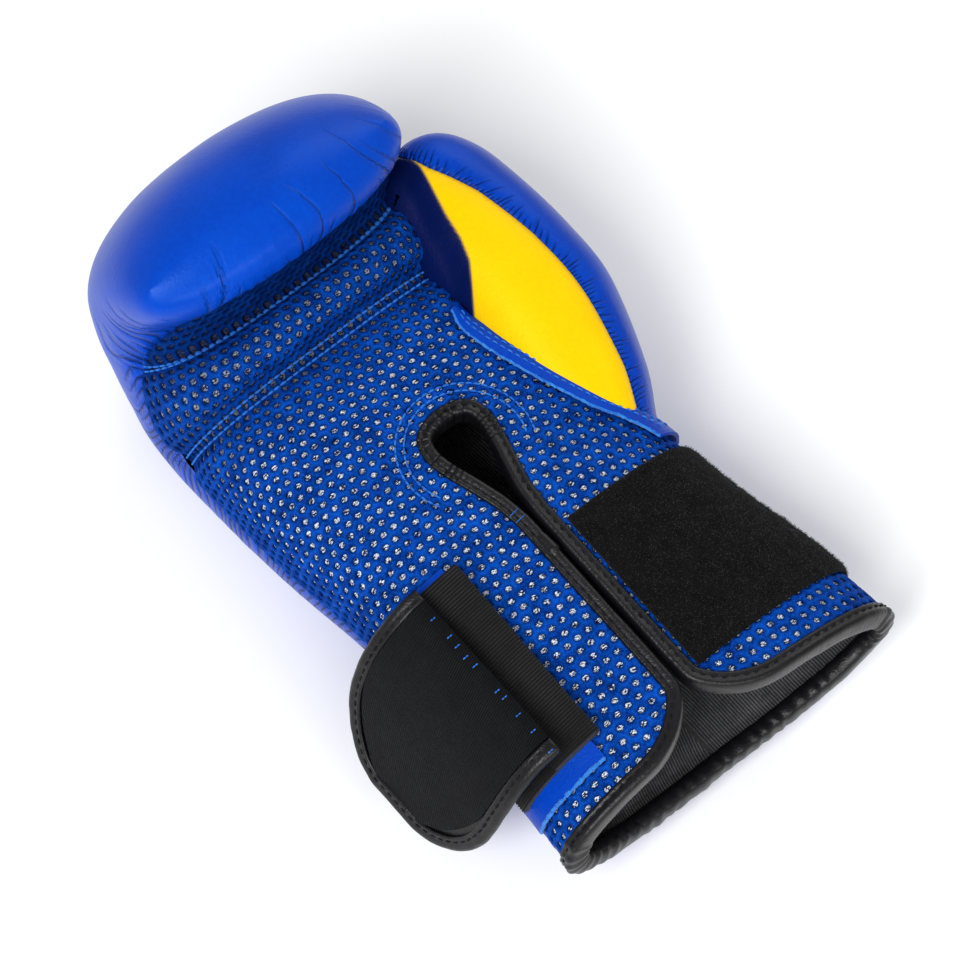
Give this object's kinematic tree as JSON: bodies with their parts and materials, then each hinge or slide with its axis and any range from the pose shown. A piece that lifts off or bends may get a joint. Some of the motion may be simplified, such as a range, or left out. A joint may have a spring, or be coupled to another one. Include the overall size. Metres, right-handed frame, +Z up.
{
  "type": "boxing glove",
  "caption": "Padded boxing glove for the right hand, lying palm up, with air-mesh palm, keyhole vent, thumb and an open hook-and-loop wrist strap.",
  "frame": {"origin": "on the flattened back of the glove where it rests, under the palm", "axes": "+Y from the cuff to the fist, +X to the thumb side, +Z up from the table, out of the palm"},
  "size_m": [0.1781, 0.2801, 0.132],
  "materials": {
    "blue_leather": "smooth, semi-gloss",
    "blue_mesh": "open air mesh",
    "yellow_leather": "smooth, satin",
    "black_lining": "ribbed twill",
    "black_leather": "satin",
    "loop_pile": "fuzzy loop pile",
    "black_elastic": "ribbed woven elastic",
    "hook_tape": "fine woven hook tape"
  },
  "bodies": {
    "root": {"palm_mesh": "blue_mesh", "back_pad": "blue_leather", "cuff_lining": "black_lining", "thumb_trim": "blue_leather", "thumb_outer": "blue_leather", "thumb_inner": "yellow_leather", "cuff_binding": "black_leather", "loop_patch": "loop_pile", "strap_tab": "blue_leather", "strap_elastic": "black_elastic", "strap_panel": "black_leather", "strap_binding": "black_leather", "hook_patch": "hook_tape"}
  },
  "joints": []
}
